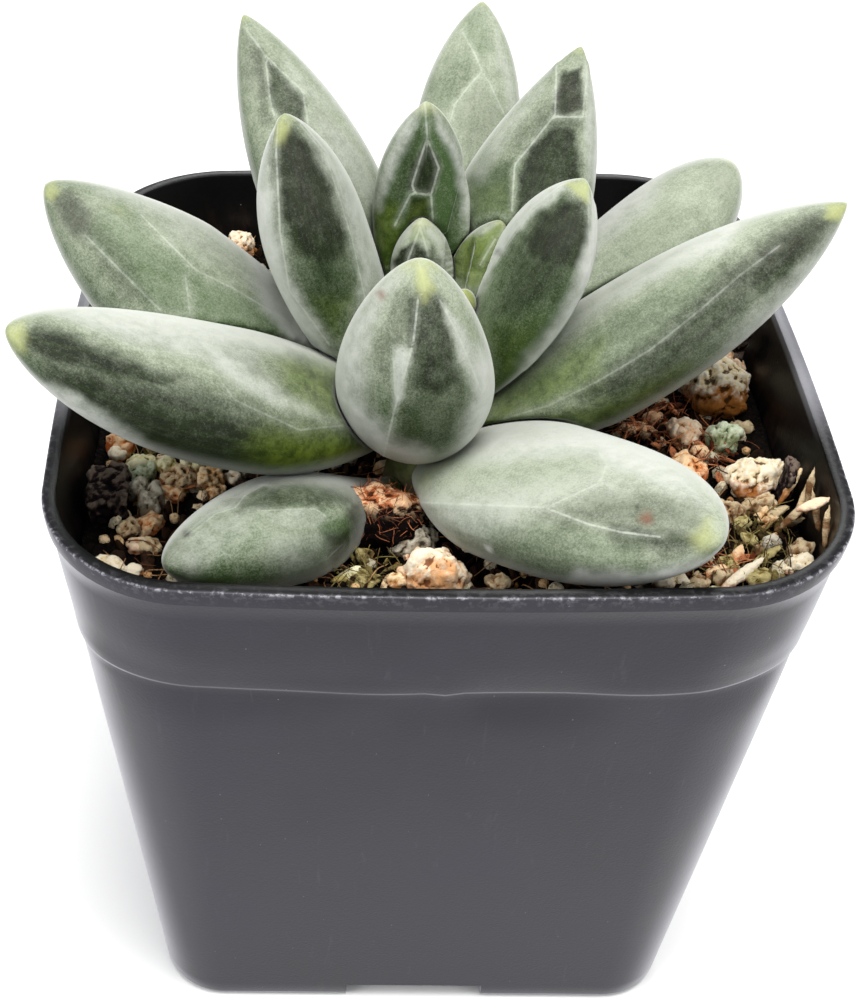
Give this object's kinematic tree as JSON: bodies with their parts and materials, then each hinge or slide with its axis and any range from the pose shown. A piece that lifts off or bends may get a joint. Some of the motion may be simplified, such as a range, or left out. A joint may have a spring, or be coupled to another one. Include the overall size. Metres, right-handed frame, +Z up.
{
  "type": "potted little jewel pachyphytum",
  "caption": "Small rosette of pale, powdery, pointed succulent leaves on a short stem, in gritty soil in a tapered square nursery pot.",
  "frame": {"origin": "middle of the pot's footprint, on the surface that the pot stands on", "axes": "+Z up, -Y towards the front of the picture, +X to its right"},
  "size_m": [0.0658, 0.0644, 0.0862],
  "materials": {
    "pot_plastic": "satin",
    "potting_mix": "matte",
    "stem_green": "satin",
    "leaf_skin": "matte",
    "grit_orange": "matte",
    "grit_sand": "matte",
    "grit_cream": "matte",
    "grit_grey": "matte",
    "wood_chip": "matte"
  },
  "bodies": {
    "root": {"pot": "pot_plastic", "soil": "potting_mix", "stem": "stem_green", "leaf_01": "leaf_skin", "leaf_02": "leaf_skin", "leaf_03": "leaf_skin", "leaf_04": "leaf_skin", "leaf_05": "leaf_skin", "leaf_06": "leaf_skin", "leaf_07": "leaf_skin", "leaf_08": "leaf_skin", "leaf_09": "leaf_skin", "leaf_10": "leaf_skin", "leaf_11": "leaf_skin", "leaf_12": "leaf_skin", "leaf_13": "leaf_skin", "leaf_14": "leaf_skin", "leaf_15": "leaf_skin", "leaf_16": "leaf_skin", "leaf_17": "leaf_skin", "bud": "leaf_skin", "stone_amber": "grit_orange", "stone_tan": "grit_orange", "stone_orange": "grit_orange", "crust_red": "grit_orange", "stone_yellow": "grit_sand", "stone_mottled": "grit_sand", "grit_tan": "grit_sand", "stone_pink": "grit_sand", "stone_cracked": "grit_sand", "grit_pink": "grit_sand", "stone_sand_a": "grit_sand", "stone_sand_b": "grit_sand", "grit_brown": "grit_sand", "stone_back_a": "grit_sand", "stone_back_b": "grit_sand", "stone_back_c": "grit_sand", "stone_back_d": "grit_sand", "stone_back_e": "grit_sand", "stone_cream": "grit_cream", "stone_pale": "grit_cream", "stone_grey": "grit_grey", "stone_pumice": "grit_grey", "stone_green": "grit_grey", "bark_stub": "wood_chip", "flake_cream": "wood_chip", "chip_brown": "wood_chip", "chip_wall": "wood_chip", "splinter": "wood_chip", "flake_olive": "wood_chip", "clump_fibre": "wood_chip", "tuft_olive": "wood_chip"}
  },
  "joints": []
}
